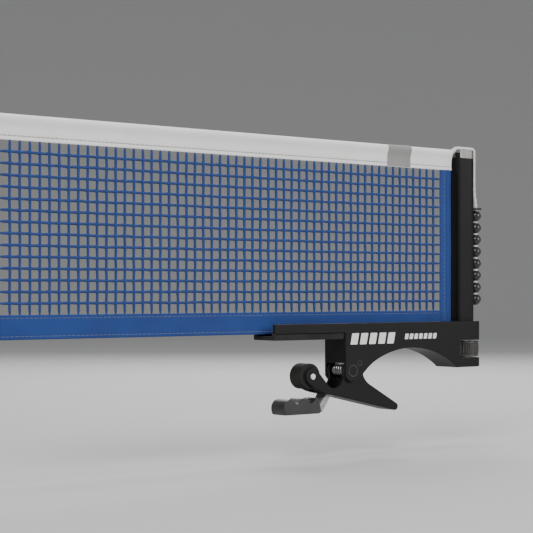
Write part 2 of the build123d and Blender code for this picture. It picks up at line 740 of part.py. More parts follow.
def side_hem(x_low, x_high, batten_x):
    strip = block(x_low, x_high, HEM_HALF, NET_BOTTOM, TAPE_BOTTOM)
    pocket = upright(batten_x, NET_BOTTOM, TAPE_BOTTOM, POCKET_RADIUS)
    return strip + pocket - batten(batten_x)


def batten(x):
    return upright(x, NET_BOTTOM + 1.5, TAPE_BOTTOM, BATTEN_RADIUS)


far_batten_x = NET_LEFT + (NET_RIGHT - BATTEN_X)

nodes = {
    "clamp_frame": clamp_frame(),
    "upper_pad": upper_pad(),
    "lever_pivot_pin": pivot_pin(),
    "pivot_washers": pivot_washers(),
    "pivot_bush": pivot_bush(),
    "lever_stop_rivet": stop_rivet(),
    "torsion_spring": torsion_spring(),
    "nut_washers": nut_washers(),
    "clamp_lever": clamp_lever(),
    "grip_shank": grip_shank(),
    "finger_grip": finger_grip(),
    "roller_pin": roller_pin(),
    "roller_hub": roller_hub(),
    "roller_tyre": roller_tyre(),
    "height_nut": height_nut(),
    "adjusting_stud": adjusting_stud(),
    "post_foot": post_foot(),
    "foot_pin": foot_pin(),
    "post_tube": post_tube(),
    "post_cap": post_cap(),
    "cord_lock_plate": cord_lock_plate(),
    "net_mesh": net_mesh(),
    "top_tape": top_tape(),
    "net_label": net_label(),
    "bottom_hem": bottom_hem(),
    "side_hem": side_hem(MESH_RIGHT, NET_RIGHT, BATTEN_X),
    "side_batten": batten(BATTEN_X),
    "far_hem": side_hem(NET_LEFT, MESH_LEFT, far_batten_x),
    "far_batten": batten(far_batten_x),
    "net_cord": net_cord(),
    "far_loop": far_loop(),
    "far_ferrule": far_ferrule(),
    "tail_cord": tail_cord(),
}
for number in range(BEADS):
    nodes[f"cord_bead_{number + 1}"] = bead(number)

for name, shape in nodes.items():
    export_step(shape, f"parts/{name}.step")
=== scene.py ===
import json
import math
import random

import bpy
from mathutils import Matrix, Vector


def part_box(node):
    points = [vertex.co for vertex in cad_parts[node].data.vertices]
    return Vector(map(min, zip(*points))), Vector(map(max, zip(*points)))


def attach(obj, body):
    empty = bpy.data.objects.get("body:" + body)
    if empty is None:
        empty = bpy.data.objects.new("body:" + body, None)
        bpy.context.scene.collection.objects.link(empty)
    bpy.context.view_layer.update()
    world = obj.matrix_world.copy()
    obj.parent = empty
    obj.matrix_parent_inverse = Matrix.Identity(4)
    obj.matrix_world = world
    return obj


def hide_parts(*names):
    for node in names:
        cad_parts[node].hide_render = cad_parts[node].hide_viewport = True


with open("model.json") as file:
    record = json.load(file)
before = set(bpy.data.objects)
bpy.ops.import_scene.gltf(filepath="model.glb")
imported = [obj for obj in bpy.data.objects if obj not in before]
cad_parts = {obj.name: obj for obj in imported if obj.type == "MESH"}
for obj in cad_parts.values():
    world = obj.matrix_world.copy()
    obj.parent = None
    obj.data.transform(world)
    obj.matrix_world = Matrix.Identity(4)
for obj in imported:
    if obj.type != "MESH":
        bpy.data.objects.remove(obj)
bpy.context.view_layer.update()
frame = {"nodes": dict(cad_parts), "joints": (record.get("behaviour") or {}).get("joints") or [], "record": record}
nodes = frame["nodes"]
MM = 0.001
X_AXIS = 0
Z_AXIS = 2

# ---------------------------------------------------------------- camera

EYE = Vector((-0.786, -0.887, 0.037))
LOOK_DEG = 39.0
LENS = 104.0
SHIFT_UP = 0.045

camera_data = bpy.data.cameras.new("camera")
camera_data.lens = LENS
camera_data.sensor_width = 36.0
camera_data.shift_y = SHIFT_UP
camera_data.clip_end = 50.0
camera = bpy.data.objects.new("camera", camera_data)
camera.location = EYE
camera.rotation_euler = (math.radians(90), 0, math.radians(-LOOK_DEG))
bpy.context.scene.collection.objects.link(camera)
bpy.context.scene.camera = camera

# ---------------------------------------------------------------- materials

# Where the Mix node keeps its colour sockets.
MIX_COLOUR_A = 6
MIX_COLOUR_B = 7
MIX_COLOUR_RESULT = 2
# How nearly a rounded normal matches the true one on a flat face and on a sharp edge.
FLAT_MATCH = 0.995
EDGE_MATCH = 0.86


class Shader:
    """A Principled material with a few helpers for procedural detail in object space."""

    def __init__(self, name, colour, roughness, metallic=0.0, **sockets):
        self.material = bpy.data.materials.new(name)
        self.material.use_nodes = True
        self.tree = self.material.node_tree
        self.surface = self.tree.nodes["Principled BSDF"]
        self.surface.inputs["Base Color"].default_value = (*colour, 1.0)
        self.surface.inputs["Roughness"].default_value = roughness
        self.surface.inputs["Metallic"].default_value = metallic
        for socket, value in sockets.items():
            self.surface.inputs[socket.replace("_", " ")].default_value = value
        self.place = self.tree.nodes.new("ShaderNodeTexCoord").outputs["Object"]
        self.bump_out = None

    def add(self, kind, **inputs):
        node = self.tree.nodes.new(kind)
        for socket, value in inputs.items():
            node.inputs[socket.replace("_", " ")].default_value = value
        return node

    def link(self, source, target):
        self.tree.links.new(source, target)

    def scaled(self, scale, turn=(0, 0, 0)):
        """Object coordinates stretched by scale, after an optional turn."""
        mapping = self.add("ShaderNodeMapping", Scale=scale, Rotation=turn)
        self.link(self.place, mapping.inputs["Vector"])
        return mapping.outputs["Vector"]

    def noise(self, scale, detail=3.0, stretch=(1, 1, 1)):
        node = self.add("ShaderNodeTexNoise", Scale=scale, Detail=detail)
        self.link(self.scaled(stretch), node.inputs["Vector"])
        return node.outputs["Fac"]

    def waves(self, period, axis, turn=(0, 0, 0)):
        """Smooth ridges of a given period in metres along one axis."""
        node = self.tree.nodes.new("ShaderNodeTexWave")
        node.wave_type = "BANDS"
        node.bands_direction = axis
        node.wave_profile = "SIN"
        node.inputs["Scale"].default_value = 1.0
        node.inputs["Distortion"].default_value = 0.0
        step = math.pi / (10 * period)
        self.link(self.scaled((step, step, step), turn), node.inputs["Vector"])
        return node.outputs["Fac"]

    def mix(self, one, two, how="MULTIPLY"):
        node = self.tree.nodes.new("ShaderNodeMath")
        node.operation = how
        self.link(one, node.inputs[0])
        self.link(two, node.inputs[1])
        return node.outputs[0]

    def bump(self, height, distance, strength=1.0):
        node = self.add("ShaderNodeBump", Strength=strength, Distance=distance)
        self.link(height, node.inputs["Height"])
        if self.bump_out is not None:
            self.link(self.bump_out, node.inputs["Normal"])
        self.bump_out = node.outputs["Normal"]
        self.link(self.bump_out, self.surface.inputs["Normal"])

    def ranged(self, factor, start, end, low=0.0, high=1.0):
        """A factor's range from start to end, spread from low to high."""
        node = self.tree.nodes.new("ShaderNodeMapRange")
        node.inputs["From Min"].default_value = start
        node.inputs["From Max"].default_value = end
        node.inputs["To Min"].default_value = low
        node.inputs["To Max"].default_value = high
        self.link(factor, node.inputs["Value"])
        return node.outputs["Result"]

    def ramp(self, factor, socket, low, high, start=0.3, end=0.7):
        """Runs a socket from low to high with factor."""
        self.link(self.ranged(factor, start, end, low, high), self.surface.inputs[socket])

    def tint(self, factor, low, high, start=0.3, end=0.7):
        """Runs the base colour from low to high with factor."""
        blend = self.tree.nodes.new("ShaderNodeMix")
        blend.data_type = "RGBA"
        blend.inputs[MIX_COLOUR_A].default_value = (*low, 1.0)
        blend.inputs[MIX_COLOUR_B].default_value = (*high, 1.0)
        self.link(self.ranged(factor, start, end), blend.inputs["Factor"])
        self.link(blend.outputs[MIX_COLOUR_RESULT], self.surface.inputs["Base Color"])

    def worn_and_highlit_edges(self, edge_wear_and_highlight, radius=0.0007):
        """Lightens sharp edges, unevenly along them: partly paint rubbed thin, partly a painted highlight along
        the edges.
        """
        bevel = self.add("ShaderNodeBevel", Radius=radius)
        bevel.samples = 6
        true_normal = self.tree.nodes.new("ShaderNodeNewGeometry").outputs["True Normal"]
        match = self.tree.nodes.new("ShaderNodeVectorMath")
        match.operation = "DOT_PRODUCT"
        self.link(bevel.outputs["Normal"], match.inputs[0])
        self.link(true_normal, match.inputs[1])
        near_edge = self.ranged(match.outputs["Value"], FLAT_MATCH, EDGE_MATCH)
        # The edge mask with noise: paint worn thin and a painted edge highlight, both patchy along the edge.
        patchy = self.mix(near_edge, self.noise(170, 5))
        base = tuple(self.surface.inputs["Base Color"].default_value)[:3]
        self.tint(patchy, base, edge_wear_and_highlight, 0.12, 0.60)


def powder_coat(name, colour, edge_wear_and_highlight):
    shader = Shader(name, colour, 0.46, Specular_IOR_Level=0.20)
    shader.worn_and_highlit_edges(edge_wear_and_highlight)
    shader.bump(shader.noise(1700, 2), 0.00006, 0.45)
    shader.ramp(shader.noise(45, 4), "Roughness", 0.42, 0.52)
    return shader.material


def rubber(name):
    shader = Shader(name, (0.016, 0.016, 0.016), 0.78, Specular_IOR_Level=0.28)
    shader.bump(shader.noise(900, 3), 0.00008, 0.5)
    shader.tint(shader.noise(45, 5), (0.008, 0.008, 0.008), (0.021, 0.020, 0.019))
    return shader.material


def moulded(name, colour, dusty, roughness, grain):
    shader = Shader(name, colour, roughness)
    shader.bump(shader.noise(grain, 2), 0.00005, 0.4)
    shader.tint(shader.noise(70, 4), colour, dusty)
    return shader.material


def metal(name, colour, dull, roughness, stretch=(1, 1, 1), metallic=1.0):
    shader = Shader(name, colour, roughness, metallic)
    shader.bump(shader.noise(1400, 2, stretch), 0.00003, 0.35)
    shader.tint(shader.noise(140, 5, stretch), colour, dull)
    shader.ramp(shader.noise(260, 3, stretch), "Roughness", roughness * 0.75, roughness * 1.4)
    return shader.material


def woven(name, colour, shade, thread, roughness=0.82, sheen=0.25):
    """Plain weave: warp along X, weft along Z, with slow colour variation."""
    shader = Shader(name, colour, roughness, Sheen_Weight=sheen, Sheen_Roughness=0.5)
    warp = shader.waves(thread, "X")
    weft = shader.waves(thread, "Z")
    shader.bump(shader.mix(warp, weft, "ADD"), 0.00012, 0.7)
    shader.bump(shader.noise(420, 4), 0.00010, 0.35)
    shader.tint(shader.noise(38, 5), shade, colour, 0.25, 0.75)
    return shader.material


def twisted(name, colour, shade, roughness=0.7, sheen=0.3):
    """Cord or netting yarn with fine fibres."""
    shader = Shader(name, colour, roughness, Sheen_Weight=sheen, Sheen_Roughness=0.45)
    shader.bump(shader.noise(2600, 3), 0.00010, 0.5)
    shader.tint(shader.noise(300, 4), shade, colour)
    return shader.material


MAKERS = {
    # Powder coats: their own colour, then the colour of their edges, partly paint worn thin and partly painted
    # highlight.
    "frame_black": (powder_coat, (0.0050, 0.0047, 0.0045), (0.115, 0.111, 0.107)),
    "post_black": (powder_coat, (0.0044, 0.0041, 0.0039), (0.105, 0.101, 0.097)),
    "rubber_black": (rubber,),
    "bright_steel": (metal, (0.86, 0.85, 0.83), (0.74, 0.73, 0.71), 0.40, (1, 1, 6), 0.55),
    "shank_steel": (metal, (0.36, 0.355, 0.35), (0.27, 0.267, 0.262), 0.44, (1, 1, 6), 0.45),
    "plain_steel": (metal, (0.52, 0.52, 0.53), (0.40, 0.40, 0.41), 0.34),
    "spring_steel": (metal, (0.34, 0.34, 0.35), (0.22, 0.22, 0.23), 0.30),
    "nut_metal": (metal, (0.085, 0.082, 0.079), (0.055, 0.053, 0.051), 0.40, (1, 1, 1), 0.65),
    "cap_grey": (metal, (0.31, 0.30, 0.29), (0.24, 0.23, 0.22), 0.40, (8, 1, 1)),
    "nylon": (moulded, (0.74, 0.73, 0.69), (0.62, 0.61, 0.57), 0.45, 900),
    "grip_plastic": (moulded, (0.011, 0.011, 0.011), (0.024, 0.023, 0.022), 0.48, 1500),
    "bead_black": (moulded, (0.012, 0.012, 0.012), (0.022, 0.021, 0.021), 0.20, 700),
    "batten": (moulded, (0.55, 0.53, 0.45), (0.48, 0.46, 0.38), 0.5, 900),
    "tape_white": (woven, (0.89, 0.885, 0.875), (0.82, 0.815, 0.805), 0.0006, 0.62, 0.15),
    "label_grey": (woven, (0.29, 0.283, 0.278), (0.25, 0.244, 0.240), 0.0005, 0.60, 0.1),
    "hem_blue": (woven, (0.0060, 0.043, 0.215), (0.0045, 0.032, 0.165), 0.0007, 0.85, 0.05),
    "mesh_blue": (twisted, (0.0055, 0.037, 0.180), (0.0040, 0.027, 0.130), 0.75, 0.05),
    "cord_white": (twisted, (0.70, 0.685, 0.665), (0.56, 0.545, 0.53)),
    "thread_grey": (twisted, (0.40, 0.395, 0.39), (0.32, 0.315, 0.31), 0.7, 0.05),
    "thread_light": (twisted, (0.150, 0.165, 0.270), (0.105, 0.120, 0.215), 0.7, 0.05),
    "print_white": (moulded, (0.82, 0.815, 0.80), (0.74, 0.735, 0.72), 0.42, 1600),
}
MATERIALS = {name: make(name, *looks) for name, (make, *looks) in MAKERS.items()}

SLOT_OF = {part["node"]: part["material_slot"] for part in frame["record"]["subparts"]}

for node_name, node in nodes.items():
    node.data.materials.clear()
    node.data.materials.append(MATERIALS[SLOT_OF[node_name]])
nodes["grip_shank"].data.materials[0] = MATERIALS["shank_steel"]

# ---------------------------------------------------------------- mesh helpers


def piece(name, mesh, body, material, stands_for=(), smooth=True):
    """Makes an object from (vertices, faces), in metres, riding on a CAD body."""
    vertices, faces = mesh
    data = bpy.data.meshes.new(name)
    data.from_pydata([tuple(v) for v in vertices], [], faces)
    data.validate()
    for polygon in data.polygons:
        polygon.use_smooth = smooth
    data.materials.append(MATERIALS[material])
    made = bpy.data.objects.new(name, data)
    bpy.context.scene.collection.objects.link(made)
    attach(made, body)
    if stands_for:
        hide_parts(*stands_for)
    return made


def middle(node_name):
    """The middle of a CAD node's box."""
    low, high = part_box(node_name)
    return (low + high) / 2


def heading(k, count):
    """The level direction k counts round a full turn of count."""
    angle = 2 * math.pi * k / count
    return Vector((math.cos(angle), math.sin(angle), 0))


def join(meshes):
    """Several (vertices, faces) as one."""
    vertices = []
    faces = []
    for more_vertices, more_faces in meshes:
        base = len(vertices)
        vertices += more_vertices
        faces += [[base + i for i in face] for face in more_faces]
    return vertices, faces


def loft(rings, closed=False):
    """Skins rings of equal length, with flat end caps unless it closes on itself."""
    sides = len(rings[0])
    vertices = [vertex for ring in rings for vertex in ring]
    faces = []
    count = len(rings)
    for i in range(count if closed else count - 1):
        low = i * sides
        high = (i + 1) % count * sides
        for j in range(sides):
            after = (j + 1) % sides
            faces.append([low + j, low + after, high + after, high + j])
    if not closed:
        faces.append(list(reversed(range(sides))))
        faces.append([(count - 1) * sides + j for j in range(sides)])
    return vertices, faces


def tube(points, radius, sides=8, shape=None):
    """A tube along points. shape(i, angle) scales its radius."""
    rings = []
    side = None
    for i, point in enumerate(points):
        ahead = points[min(i + 1, len(points) - 1)]
        behind = points[max(i - 1, 0)]
        tangent = (ahead - behind).normalized()
        if side is None:
            side = tangent.cross(Vector((0, 1, 0)))
            if side.length < 0.1:
                side = tangent.cross(Vector((1, 0, 0)))
        side = (side - tangent * side.dot(tangent)).normalized()
        other = tangent.cross(side)
        ring = []
        for j in range(sides):
            angle = 2 * math.pi * j / sides
            reach = radius * (shape(i, angle) if shape else 1.0)
            ring.append(point + side * (reach * math.cos(angle)) + other * (reach * math.sin(angle)))
        rings.append(ring)
    return loft(rings)


def ball(centre, radii, around=8, rows=5):
    """A closed ellipsoid of quads and triangles."""
    vertices = [Vector(centre) - Vector((0, 0, radii[2]))]
    for i in range(1, rows):
        tilt = math.pi * i / rows - math.pi / 2
        for j in range(around):
            spot = heading(j, around) * math.cos(tilt) + Vector((0, 0, math.sin(tilt)))
            vertices.append(Vector(centre) + spot * Vector(radii))
    vertices.append(Vector(centre) + Vector((0, 0, radii[2])))
    top = len(vertices) - 1
    faces = []
    for j in range(around):
        after = (j + 1) % around
        faces.append([0, 1 + after, 1 + j])
        faces.append([top, top - around + j, top - around + after])
        for i in range(rows - 2):
            low = 1 + i * around
            high = low + around
            faces.append([low + j, low + after, high + after, high + j])
    return vertices, faces


# Every random draw comes from this one source, in the order in which the pieces are made.
rng = random.Random(7)


def stitch_row(start, step, count, length, radius, lift):
    """A row of short raised threads from start, one every step, bulging along lift."""
    rows = []
    half = step.normalized() * (length / 2)
    for i in range(count):
        centre = start + step * (i + 0.5)
        centre += lift * rng.uniform(-0.12, 0.12)
        points = [
            centre - half - lift * 0.9,
            centre - half * 0.72,
            centre + lift * 0.35,
            centre + half * 0.72,
            centre + half - lift * 0.9,
        ]
        rows.append(tube(points, radius, 6))
    return join(rows)


def seam(x, z, off, step, count, length, radius, lift):
    """A stitch row on each face of a cloth, off its middle plane."""
    rows = []
    for face in (-1, 1):
        start = Vector((x, face * off, z))
        rows.append(stitch_row(start, Vector(step), count, length, radius, Vector((0, face * lift, 0))))
    return rows


# ---------------------------------------------------------------- net field

STRAND = 1.06 * MM
CELL = 7.5 * MM
# How far a crossing may lie off its place, in the net's plane and, in millimetres, out of it.
SLACK = 0.22 * MM
RIPPLE_MM = 0.12
KNOT_LEAST_MM = 1.30
KNOT_MOST_MM = 1.48
KNOT_DEPTH = 1.14 * MM
TUCK = 1.6 * MM
# A yarn is pressed flat where the hem holds it: shares of its radius from its end on.
TUCK_FULLNESS = (0.36, 0.56, 0.94)

mesh_low, mesh_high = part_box("net_mesh")
columns = round((mesh_high.x - mesh_low.x) / CELL)
rows = round((mesh_high.z - mesh_low.z) / CELL)
column_pitch = (mesh_high.x - mesh_low.x) / columns
row_pitch = (mesh_high.z - mesh_low.z) / rows

crossings = {}
for i in range(columns + 1):
    for j in range(rows + 1):
        inner = 0 < i < columns and 0 < j < rows
        slack = SLACK if inner else 0.0
        crossings[i, j] = Vector((
            mesh_low.x + i * column_pitch + rng.uniform(-slack, slack),
            rng.uniform(-RIPPLE_MM, RIPPLE_MM) * MM,
            mesh_low.z + j * row_pitch + rng.uniform(-slack, slack),
        ))


def strand(points, ends):
    """A yarn through its crossings, a little fuller between them, its ends tucked into the hems."""
    line = [points[0] - ends]
    for a, b in zip(points, points[1:]):
        for share in (0.0, 0.3, 0.7):
            line.append(a.lerp(b, share))
    line += [points[-1], points[-1] + ends]

    def fullness(i, angle):
        from_end = min(i, len(line) - 1 - i)
        if from_end < len(TUCK_FULLNESS):
            return TUCK_FULLNESS[from_end]
        return 1.0 + 0.07 * math.sin(i * 2.1)

    return tube(line, STRAND, 6, fullness)


yarns = []
for j in range(1, rows):
    yarns.append(strand([crossings[i, j] for i in range(columns + 1)], Vector((TUCK, 0, 0))))
for i in range(1, columns):
    yarns.append(strand([crossings[i, j] for j in range(rows + 1)], Vector((0, 0, TUCK))))
knots = []
for i in range(1, columns):
    for j in range(1, rows):
        size = rng.uniform(KNOT_LEAST_MM, KNOT_MOST_MM) * MM
        knots.append(ball(crossings[i, j], (size, KNOT_DEPTH, size * 0.96)))
net_field = piece("net_field", join(yarns + knots), "post", "mesh_blue", stands_for=["net_mesh"])

# ---------------------------------------------------------------- top tape

tape_low, tape_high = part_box("top_tape")
tape_length = tape_high.x - tape_low.x
tape_height = tape_high.z - tape_low.z
LOOP = (tape_high.y - tape_low.y) / 2
CORD_Z = tape_high.z - LOOP
PLY = 0.8 * MM
# The tape's two sides close up over this height below the cord.
CLOSING = 4.2 * MM
SEAM_Z = tape_low.z + 2.8 * MM
SEAM_PINCH = 0.30 * MM
SEAM_REACH = 0.9 * MM
EDGE_SWELL = 0.14 * MM
STITCH = 3.6 * MM
END_FOLD = 3.6 * MM
FOLD_PLY = 0.11 * MM
ARC_STEPS = 12
TAPE_STEP = 0.9 * MM


def bell(distance, reach):
    """1 at no distance, falling smoothly to nearly 0 at twice the reach."""
    return math.exp(-((distance / reach) ** 2))


def tape_half_width(z, x):
    """Half thickness of the tape at height z: round over the cord, pinched at the seam."""
    if z >= CORD_Z:
        return math.sqrt(max(LOOP**2 - (z - CORD_Z) ** 2, 0.0))
    width = PLY + (LOOP - PLY) * bell(CORD_Z - z, CLOSING)
    pucker = 0.5 + 0.5 * math.cos(2 * math.pi * (x - tape_low.x) / STITCH)
    pinch = SEAM_PINCH * bell(z - SEAM_Z, SEAM_REACH) * (0.45 + 0.55 * pucker)
    swell = EDGE_SWELL * bell(z - tape_low.z - 1.0 * MM, 1.0 * MM)
    end = min(x - tape_low.x, tape_high.x - x)
    fold = FOLD_PLY * (1 - math.tanh((end - END_FOLD) / (0.3 * MM)))
    return width - pinch + swell + fold


def over_cord(side, radius):
    """The line up one side, round the cord and down the other, from one side's (Y, Z) points."""
    arc = []
    for k in range(ARC_STEPS + 1):
        angle = math.pi * k / ARC_STEPS
        arc.append((radius * math.cos(angle), CORD_Z + radius * math.sin(angle)))
    return side + arc + [(-y, z) for y, z in reversed(side)]


def tape_ring(x):
    """The tape's outline at x, finely divided near the seam, its lower edge waving a little."""
    heights = [tape_low.z + 0.35 * MM * k for k in range(9)]
    heights += [tape_low.z + (3.4 + k) * MM for k in range(11)]
    outline = over_cord([(tape_half_width(z, x), z) for z in heights], LOOP)
    bottom = tape_low.z - 0.17 * MM
    outline += [(-PLY * 0.55, bottom), (PLY * 0.55, bottom)]
    droop = 0.10 * MM * math.sin(x * 61.0) + 0.07 * MM * math.sin(x * 147.0 + 1.0)
    return [Vector((x, y + droop * (1 - (z - tape_low.z) / tape_height), z)) for y, z in outline]


tape_count = int(tape_length / TAPE_STEP)
tape_rings = [tape_ring(tape_low.x + i * tape_length / tape_count) for i in range(tape_count + 1)]
tape = piece("tape", loft(tape_rings), "post", "tape_white", stands_for=["top_tape"])

tape_seam = seam(
    tape_low.x, SEAM_Z, tape_half_width(SEAM_Z, tape_low.x + STITCH / 2) + 0.05 * MM,
    step=(STITCH, 0, 0), count=int(tape_length / STITCH),
    length=2.7 * MM, radius=0.24 * MM, lift=0.22 * MM,
)
tape_stitches = piece("tape_stitches", join(tape_seam), "post", "thread_grey")

# ---------------------------------------------------------------- label


LABEL_THICK = 0.32 * MM
LABEL_EDGE_THICK = 0.20 * MM
LABEL_ROWS = 16
LABEL_COLUMNS = 26
LABEL_MARGIN = 1.1 * MM


def label_ring(x, grow):
    """The label's outer or inner line at x, folded over the tape."""
    rise = (CORD_Z - tape_low.z) / LABEL_ROWS
    heights = [tape_low.z + 0.3 * MM + rise * k for k in range(LABEL_ROWS)]
    side = [(max(tape_half_width(z, x), PLY + 0.05 * MM) + grow, z) for z in heights]
    return [Vector((x, y, z)) for y, z in over_cord(side, LOOP + grow)]


def label_mesh(low, high):
    """The label's cloth, thinner along its two upright edges."""
    rings = []
    for i in range(LABEL_COLUMNS + 1):
        x = low + (high - low) * i / LABEL_COLUMNS
        thick = LABEL_THICK if 0 < i < LABEL_COLUMNS else LABEL_EDGE_THICK
        rings.append(label_ring(x, thick) + label_ring(x, 0.02 * MM)[::-1])
    return loft(rings)


label_low, label_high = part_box("net_label")
label_cloth = label_mesh(label_low.x, label_high.x)
label = piece("label", label_cloth, "post", "label_grey", stands_for=["net_label"])
label_seams = []
for x in (label_low.x + LABEL_MARGIN, label_high.x - LABEL_MARGIN):
    label_seams += seam(
        x, tape_low.z + 0.8 * MM, PLY + 0.42 * MM,
        step=(0, 0, 2.3 * MM), count=4, length=1.6 * MM, radius=0.17 * MM, lift=0.18 * MM,
    )
label_stitches = piece("label_stitches", join(label_seams), "post", "thread_grey")

# ---------------------------------------------------------------- hems


POCKET = 1.7 * MM
HEM_EDGE = 0.7 * MM
HEM_PINCH = 0.26 * MM
HEM_MARGIN = 2.2 * MM


def hem_strip(low, high, across, along, seams, pocket_x=None):
    """A flat cloth strip with rounded edges, pinched seams and, at pocket_x, a batten's pocket.

    across and along are axis numbers, and seams are places across the strip.
    """
    half = (high.y - low.y) / 2 if pocket_x is None else 0.7 * MM
    width = high[across] - low[across]
    length = high[along] - low[along]
    across_count = max(int(width / (0.45 * MM)), 12)
    along_count = int(length / (1.1 * MM))
    rings = []
    for i in range(along_count + 1):
        run = low[along] + length * i / along_count
        profile = []
        for k in range(across_count + 1):
            place = low[across] + width * k / across_count
            edge = min(place - low[across], high[across] - place)
            thick = half * math.sqrt(max(1 - max(1 - edge / HEM_EDGE, 0) ** 2, 0.04))
            for seam_place in seams:
                pucker = 0.55 + 0.45 * math.cos(2 * math.pi * (run - low[along]) / STITCH)
                thick -= HEM_PINCH * pucker * bell(place - seam_place, 0.7 * MM)
            if pocket_x is not None:
                round_part = math.sqrt(max(POCKET**2 - (place - pocket_x) ** 2, 0.0))
                thick = max(thick, round_part * 0.97 + 0.03 * half)
            wave = 0.10 * MM * math.sin(run * 83 + place * 40) + 0.06 * MM * math.sin(run * 211 + 2)
            profile.append((place, wave, thick))
        ring = [(place, wave + thick) for place, wave, thick in profile]
        ring += [(place, wave - thick) for place, wave, thick in reversed(profile)]
        spots = []
        for place, y in ring:
            spot = Vector((0, y, 0))
            spot[across] = place
            spot[along] = run
            spots.append(spot)
        rings.append(spots)
    return loft(rings)


def hem_seam(x, z, along, length):
    """Stitches on both faces of a hem from (x, z), for a length along an axis."""
    step = Vector((0, 0, 0))
    step[along] = STITCH
    count = int(length / STITCH)
    return seam(x, z, 0.62 * MM, step, count, length=2.6 * MM, radius=0.21 * MM, lift=0.20 * MM)


low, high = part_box("bottom_hem")
bottom_seams = (low.z + HEM_MARGIN, high.z - HEM_MARGIN)
strip = hem_strip(low, high, Z_AXIS, X_AXIS, bottom_seams)
hems = [piece("hem_bottom", strip, "post", "hem_blue", stands_for=["bottom_hem"])]
hem_stitches = []
for seam_z in bottom_seams:
    hem_stitches += hem_seam(low.x, seam_z, X_AXIS, high.x - low.x)

for node_name, batten_name, facing in (("side_hem", "side_batten", 1), ("far_hem", "far_batten", -1)):
    low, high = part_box(node_name)
    rod_x = middle(batten_name).x
    seam_x = rod_x - facing * 4.05 * MM
    edge_x = rod_x + facing * 2.7 * MM
    strip = hem_strip(low, high, X_AXIS, Z_AXIS, (seam_x, edge_x), rod_x)
    hems.append(piece("cloth_" + node_name, strip, "post", "hem_blue", stands_for=[node_name]))
    hem_stitches += hem_seam(seam_x, low.z, Z_AXIS, high.z - low.z)
hem_thread = piece("hem_stitches", join(hem_stitches), "post", "thread_light")

# ---------------------------------------------------------------- cord

CORD = 2.1 * MM
BRAID_STEP = 0.42 * MM
BRAID_PITCH = 4.6 * MM
BRAID_STRANDS = 4
# The tension cord's control points, (X, Z) in millimetres.
CORD_ROUTE = [
    (-304.8, 149.9), (-90.0, 149.9), (60.0, 149.9), (120.0, 149.9), (128.4, 149.9), (132.2, 153.4),
    (138.0, 153.4), (149.6, 153.4), (153.05, 153.0), (153.05, 149.6), (153.05, 140.0),
    (153.05, 116.5), (155.7, 108.6), (155.7, 94.0),
]


def spline_object(name, places):
    """A NURBS line over control points given as (X, Z) in metres, in the plane Y = 0."""
    data = bpy.data.curves.new(name, "CURVE")
    data.dimensions = "3D"
    line = data.splines.new("NURBS")
    line.points.add(len(places) - 1)
    for point, (x, z) in zip(line.points, places):
        point.co = (x, 0, z, 1)
    line.order_u = 3
    line.use_endpoint_u = True
    made = bpy.data.objects.new(name, data)
    bpy.context.scene.collection.objects.link(made)
    return made


def spline_points(name, route, resolution):
    """Points along the NURBS line of a route."""
    holder = spline_object(name, [(x * MM, z * MM) for x, z in route])
    holder.data.resolution_u = resolution
    flat = bpy.data.meshes.new_from_object(holder)
    points = [vertex.co.copy() for vertex in flat.vertices]
    bpy.data.objects.remove(holder)
    return points


def even_points(points, step):
    """The same line with points every step."""
    even = [points[0]]
    spare = 0.0
    for a, b in zip(points, points[1:]):
        length = (b - a).length
        place = step - spare
        while place <= length:
            even.append(a.lerp(b, place / length))
            place += step
        spare = (spare + length) % step
    return even


def braid(i, angle):
    """Radius pattern of a round braid: two sets of strands crossing each other."""
    run = 2 * math.pi * i * BRAID_STEP / BRAID_PITCH
    one = math.cos(BRAID_STRANDS * angle + run)
    two = math.cos(BRAID_STRANDS * angle - run)
    return 0.97 + 0.055 * max(one, two)


def braided(points):
    return tube(points, CORD, 24, braid)


cord_line = even_points(spline_points("cord_line", CORD_ROUTE, 64), BRAID_STEP)
# Inside the tape the cord is plain, as far as the side hem.
shown_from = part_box("side_hem")[0].x
hidden_line = [p for p in cord_line if p.x < shown_from and p.z < CORD_Z + 1.1 * MM]
hidden_mesh = tube(hidden_line[::40] + [hidden_line[-1]], CORD * 0.97, 12)
shown_mesh = braided(cord_line[len(hidden_line) - 1:])
piece("tension_cord", join([hidden_mesh, shown_mesh]), "post", "cord_white", stands_for=["net_cord"])

EYE_ROUTE = [
    (-309.5, 150.6), (-314.0, 151.2), (-316.4, 155.3), (-321.8, 157.5), (-327.2, 155.3),
    (-329.4, 149.9), (-327.2, 144.5), (-321.8, 142.3), (-316.4, 144.5), (-314.0, 148.6),
    (-309.5, 149.2),
]
eye_line = even_points(spline_points("eye_line", EYE_ROUTE, 24), BRAID_STEP)
piece("cord_eye", braided(eye_line), "post", "cord_white", stands_for=["far_loop"])

tail_low, tail_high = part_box("tail_cord")
tail_x = (tail_low.x + tail_high.x) / 2
TAIL_POINTS = 6
tail_length = tail_high.z - tail_low.z
tail_drops = [tail_length * i / (TAIL_POINTS - 1) for i in range(TAIL_POINTS)]
tail = spline_object("bead_cord", [(tail_x, tail_high.z - drop) for drop in tail_drops])
tail.data.bevel_depth = CORD
tail.data.bevel_resolution = 4
tail.data.use_fill_caps = True
tail.data.materials.append(MATERIALS["cord_white"])
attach(tail, "tail")
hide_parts("tail_cord")

# ---------------------------------------------------------------- beads


def lathe(profile, centre, around=48):
    """A closed solid of revolution about Z. profile is a closed loop of (radius, height)."""
    rings = []
    for i in range(around):
        rings.append([Vector(centre) + heading(i, around) * r + Vector((0, 0, z)) for r, z in profile])
    return loft(rings, closed=True)


BEAD_STEPS = 30
BEAD_LINE = 0.05 * MM
BEAD_LINE_ANGLE = 0.035


